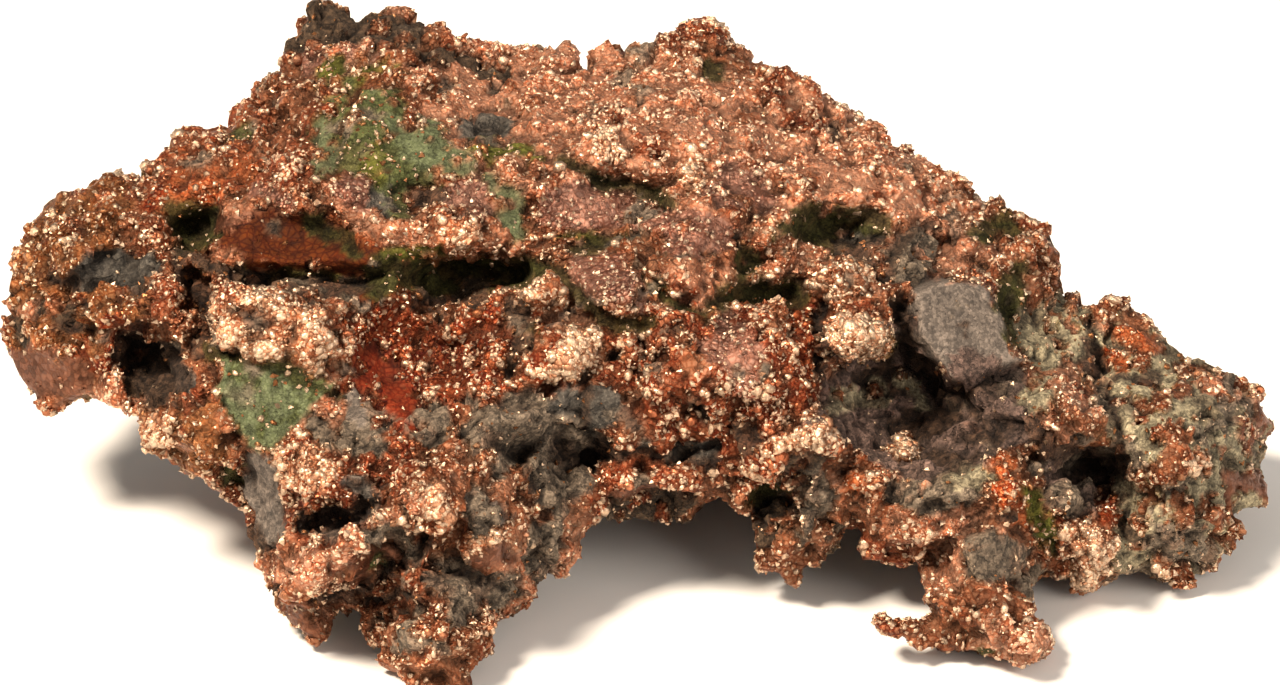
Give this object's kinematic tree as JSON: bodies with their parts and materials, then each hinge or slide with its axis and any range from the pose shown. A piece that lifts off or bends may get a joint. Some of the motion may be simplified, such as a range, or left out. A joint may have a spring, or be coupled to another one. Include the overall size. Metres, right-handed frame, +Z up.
{
  "type": "copper ore specimen",
  "caption": "Rugged lump of native copper grown through grey host rock, with green malachite stains, knobs, hollows and a hooked foot.",
  "frame": {"origin": "centre of the bounding box on the floor", "axes": "+Z up, +X along the length to the right of the face, +Y away from the viewer"},
  "size_m": [0.1, 0.0564, 0.0333],
  "materials": {
    "native_copper": "rough crystalline copper with rock and malachite"
  },
  "bodies": {
    "root": {"copper_ore": "native_copper"}
  },
  "joints": []
}
